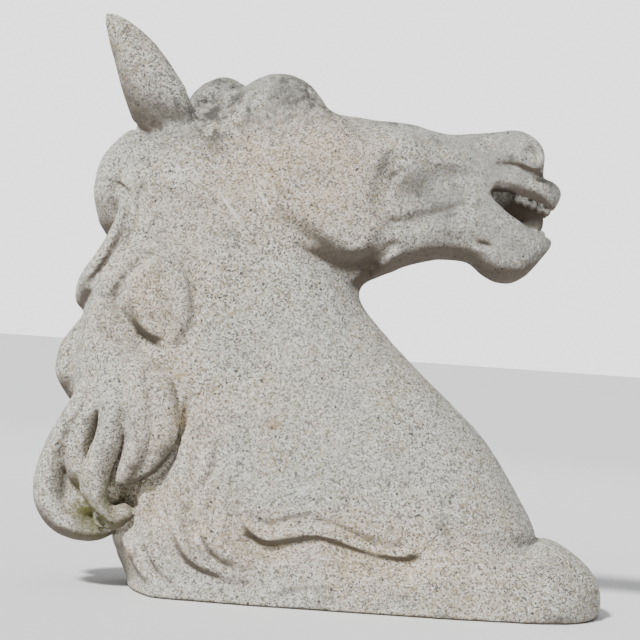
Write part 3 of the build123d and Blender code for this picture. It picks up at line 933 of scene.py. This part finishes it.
def weathered_stone_with_painted_shade(name, graininess):
    """Cast stone: sandy grains and pinholes, soot and lichen on top, grime and painted shade below,
    painted shadow under the jowl and jaw and in the mouth, moss in hollows.
    """
    p = Paint(name)
    colour = p.colour(p.noise(9, 4, 0.6, 0.40, 0.66), GREY_STONE, WARM_STONE)
    # warmer ground on the cheek, in the hollows of the mane and behind the hanging lock
    for middle, reach in (
        ((-60, -60, 440), (130, 70, 90)),
        ((-165, -60, 130), (80, 80, 170)),
        ((-195, -70, 300), (34, 50, 50)),
        ((-160, 70, 300), (120, 60, 200)),
        ((10, -90, 60), (190, 60, 50)),
    ):
        share = p.times(p.patch(middle, reach, 0.6), p.noise(14, 5, 0.65, 0.32, 0.58), 0.9)
        colour = p.colour(share, colour, SANDY_STONE)
    pale = p.times(p.patch((-168, -50, 440), (34, 60, 24), 0.7), p.noise(40, 5, 0.65, 0.36, 0.56))
    colour = p.colour(p.times(pale, 0.7), colour, PALE_GRAIN)
    # sandy grains
    grain = p.maths("ADD", p.times(p.grains(640), 0.5), p.times(p.noise(760, 3, 0.7), 0.5))
    rough = p.noise(6, 4, 0.6, 0.3, 0.7)
    share = p.times(p.stretch(rough, 0, 1, 0.7, 1.0), graininess)
    colour = p.colour(p.times(p.stretch(grain, 0.54, 0.70), share), colour, PALE_GRAIN)
    colour = p.colour(p.times(p.stretch(grain, 0.455, 0.30), share), colour, DARK_GRAIN)
    tint = p.times(p.stretch(p.grains(300), 0.72, 0.9), p.noise(12, 3, 0.6, 0.45, 0.6), 0.6)
    colour = p.colour(tint, colour, OCHRE_GRAIN)
    # grey weathering and soot on the top of the head, the ears and the muzzle
    poll = p.patch((-110, 0, 545), (170, 150, 84), 0.4)
    bridge = p.patch((70, 0, 525), (150, 110, 52), 0.5)
    ear_roots = p.patch((-190, 0, 495), (60, 120, 60), 0.5)
    top = p.maths("MAXIMUM", p.maths("MAXIMUM", poll, bridge), ear_roots)
    before_ears = p.patch((-143, 0, 500), (52, 140, 60), 0.5)
    brow = p.patch((-46, 0, 524), (60, 120, 38), 0.5)
    sooty = p.maths("MAXIMUM", before_ears, brow)
    clouds = p.noise(18, 5, 0.65, 0.38, 0.58)
    colour = p.colour(p.times(top, clouds, 0.6), colour, WEATHERED_GREY)
    colour = p.colour(p.times(top, p.noise(70, 6, 0.7, 0.54, 0.62), 0.75), colour, SOOT)
    colour = p.colour(p.times(sooty, p.noise(52, 7, 0.72, 0.44, 0.57), 0.9), colour, SOOT)
    ears = p.times(p.patch((-215, 0, 555), (70, 120, 80), 0.3), p.noise(75, 7, 0.75, 0.50, 0.66))
    colour = p.colour(p.times(ears, 0.45), colour, SOOT)
    muzzle = p.patch((165, 0, 430), (160, 110, 120), 0.4)
    colour = p.colour(p.times(muzzle, p.noise(22, 6, 0.7, 0.32, 0.60), 0.8), colour, WEATHERED_GREY)
    colour = p.colour(p.times(muzzle, p.noise(60, 6, 0.75, 0.54, 0.66), 0.5), colour, SOOT)
    colour = p.colour(p.times(p.noise(30, 7, 0.75, 0.55, 0.68), 0.5), colour, LICHEN)
    # painted shade and grime on what faces down: every underside darkened in the colour
    down = p.stretch(p.facing(), -0.08, -0.5)
    colour = p.colour(p.times(down, 0.93), colour, SHADE_AND_GRIME)
    # painted shadow under the jowl, where it overhangs the throat
    jowl_shadow = p.times(p.patch((35, 0, 335), (100, 84, 40), 0.45), p.stretch(p.facing(), 0.2, -0.25))
    colour = p.colour(jowl_shadow, colour, SHADE_AND_GRIME)
    # painted shade on the underside of the jaw
    jaw_underside_shade = p.times(p.patch((90, 0, 348), (84, 64, 24), 0.4), p.stretch(p.facing(), 0.3, -0.1), 0.85)
    colour = p.colour(jaw_underside_shade, colour, SHADE_AND_GRIME)
    # painted shade inside the open mouth
    mouth = p.patch((192, 0, 424), (44, 15, 26), 0.3)
    colour = p.colour(mouth, colour, SHADE_AND_GRIME)
    # moss and damp under the hanging lock
    damp = p.patch((-238, -50, 88), (44, 60, 46), 0.7)
    colour = p.colour(p.times(damp, p.noise(60, 4, 0.6, 0.36, 0.55)), colour, MOSS)
    # stains
    for middle, reach in (((-60, -90, 182), (12, 40, 14)), ((-200, -90, 42), (12, 40, 10))):
        share = p.times(p.patch(middle, reach, 0.8), p.noise(90, 4, 0.6, 0.4, 0.6), 0.7)
        colour = p.colour(share, colour, RUST_STAIN)
    # scratches on the cheek
    for middle, reach, turn in (
        ((-120, -75, 403), (31, 40, 2.4), 51),
        ((-84, -75, 412), (21, 40, 2.0), 50),
        ((-70, -75, 350), (16, 40, 1.0), 30),
    ):
        share = p.times(p.patch(middle, reach, 0.6, turn), p.noise(120, 3, 0.6, 0.25, 0.42), 0.95)
        colour = p.colour(share, colour, PALE_GRAIN)
    # pinholes
    small = p.times(p.cells(170, 0.22, 0.13), p.noise(40, 3, 0.6, 0.56, 0.60))
    large = p.times(p.cells(72, 0.11, 0.07), p.noise(17, 3, 0.6, 0.50, 0.52))
    holes = p.maths("MAXIMUM", small, large)
    colour = p.colour(p.times(holes, 0.85), colour, PINHOLE)
    bumps = (
        (p.noise(55, 7, 0.7), 0.005),
        (grain, 0.0013),
        (p.maths("SUBTRACT", 1.0, holes), 0.0016),
    )
    return p.finish(colour, p.stretch(grain, 0.3, 0.7, 0.82, 0.97), bumps)


def mortar(name, base):
    """A bedding or repair mortar, fine and slightly speckled."""
    p = Paint(name)
    grain = p.noise(700, 3, 0.6)
    colour = p.colour(p.noise(30, 4, 0.6, 0.35, 0.65), base, [c * 0.82 for c in base])
    colour = p.colour(p.times(p.stretch(grain, 0.5, 0.3), 0.5), colour, DARK_GRAIN)
    return p.finish(colour, p.stretch(grain, 0.3, 0.7, 0.85, 0.97), ((grain, 0.0006),))


def steel(name, base, dull, rust=0.0):
    """Bar or tube steel with drawn streaks, spotted with rust where it isn't stainless."""
    p = Paint(name)
    streaks = p.noise(420, 4, 0.6, 0.35, 0.65)
    colour = p.colour(streaks, base, [c * 0.7 for c in base])
    if rust:
        spots = p.noise(90, 5, 0.65, 0.42, 0.58)
        colour = p.colour(p.times(spots, rust), colour, RUST)
    roughness = p.stretch(streaks, 0, 1, dull, dull + 0.15)
    return p.finish(colour, roughness, ((streaks, 0.0002),), metallic=0.9)


def paint_everything(pieces):
    """Gives the castings, their beds and the CAD nodes that are carried over their finishes."""
    # the castings and the beds share the weathered stone, with its painted shade
    stone = weathered_stone_with_painted_shade("weathered_cast_stone_with_painted_shade", 1.0)
    bed = weathered_stone_with_painted_shade("weathered_joint_mortar_with_painted_shade", 0.97)
    for made in pieces:
        made.data.materials.append(bed if made.name.startswith("mortar") else stone)
    finishes = {
        "spacer": mortar("spacer_mortar", (0.36, 0.35, 0.33)),
        "dowel": steel("stainless_dowel", (0.62, 0.61, 0.59), 0.3),
        "socket": steel("socket_steel", (0.50, 0.50, 0.51), 0.42, 0.25),
        "bar": steel("reinforcing_steel", (0.30, 0.28, 0.26), 0.55, 0.8),
    }
    for name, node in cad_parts.items():
        key = next((word for word in ("spacer", "dowel", "socket") if word in name), "bar")
        if "crossbar" in name:
            key = "bar"
        node.data.materials.clear()
        node.data.materials.append(finishes[key])


# ------------------------------------------------------------
# Floor, light and camera
# ------------------------------------------------------------


def studio():
    """A pale floor, a pale room and soft lamps with the main one high on the left."""
    bpy.ops.mesh.primitive_plane_add(size=30)
    floor = bpy.context.object
    floor.name = "floor"
    paper = Paint("pale_floor")
    shade = paper.colour(paper.noise(3, 2, 0.5), (0.88, 0.88, 0.87), (0.90, 0.90, 0.89))
    floor.data.materials.append(paper.finish(shade, 0.9))
    lamps = (
        ("sun", "SUN", (-1.3, -1.5, 2.5), math.radians(8), 4.8),
        ("fill", "AREA", (1.6, -1.9, 0.9), 2.0, 4),
        ("back", "AREA", (0.3, 1.9, 1.6), 1.5, 10),
    )
    for name, kind, place, size, power in lamps:
        lamp = bpy.data.lights.new(name, kind)
        if kind == "SUN":
            lamp.angle = size
        else:
            lamp.size = size
        lamp.energy = power
        holder = bpy.data.objects.new(name, lamp)
        holder.location = place
        aim = Vector((0, 0, 0.3)) - Vector(place)
        holder.rotation_euler = aim.to_track_quat("-Z", "Y").to_euler()
        bpy.context.scene.collection.objects.link(holder)
    world = bpy.data.worlds.new("room")
    world.use_nodes = True
    background = world.node_tree.nodes["Background"]
    background.inputs["Color"].default_value = (0.93, 0.95, 1.0, 1.0)
    background.inputs["Strength"].default_value = 0.4
    seen = world.node_tree.nodes.new("ShaderNodeBackground")
    seen.inputs["Color"].default_value = (1.0, 1.0, 1.0, 1.0)
    seen.inputs["Strength"].default_value = 2.2
    chosen = world.node_tree.nodes.new("ShaderNodeMixShader")
    path = world.node_tree.nodes.new("ShaderNodeLightPath")
    for start, end in (
        (path.outputs["Is Camera Ray"], chosen.inputs["Fac"]),
        (background.outputs["Background"], chosen.inputs[1]),
        (seen.outputs["Background"], chosen.inputs[2]),
        (chosen.outputs["Shader"], world.node_tree.nodes["World Output"].inputs["Surface"]),
    ):
        world.node_tree.links.new(start, end)
    bpy.context.scene.world = world


def camera():
    """A long lens, level with the middle of the horse, nearly square to its right side and rolled."""
    lens = bpy.data.cameras.new("camera")
    lens.sensor_width = 36
    lens.lens = 116
    holder = bpy.data.objects.new("camera", lens)
    azimuth, roll, distance = math.radians(-1.5), math.radians(4), 2.2
    back = Vector((math.sin(azimuth), -math.cos(azimuth), 0))
    holder.location = Vector((-0.018, 0, 0.2945)) + back * distance
    holder.rotation_mode = "QUATERNION"
    holder.rotation_quaternion = (-back).to_track_quat("-Z", "Y") @ Quaternion((0, 0, 1), roll)
    bpy.context.scene.collection.objects.link(holder)
    bpy.context.scene.camera = holder


paint_everything(castings(thinned(surface(whole_field(main_stone())))))
studio()
camera()
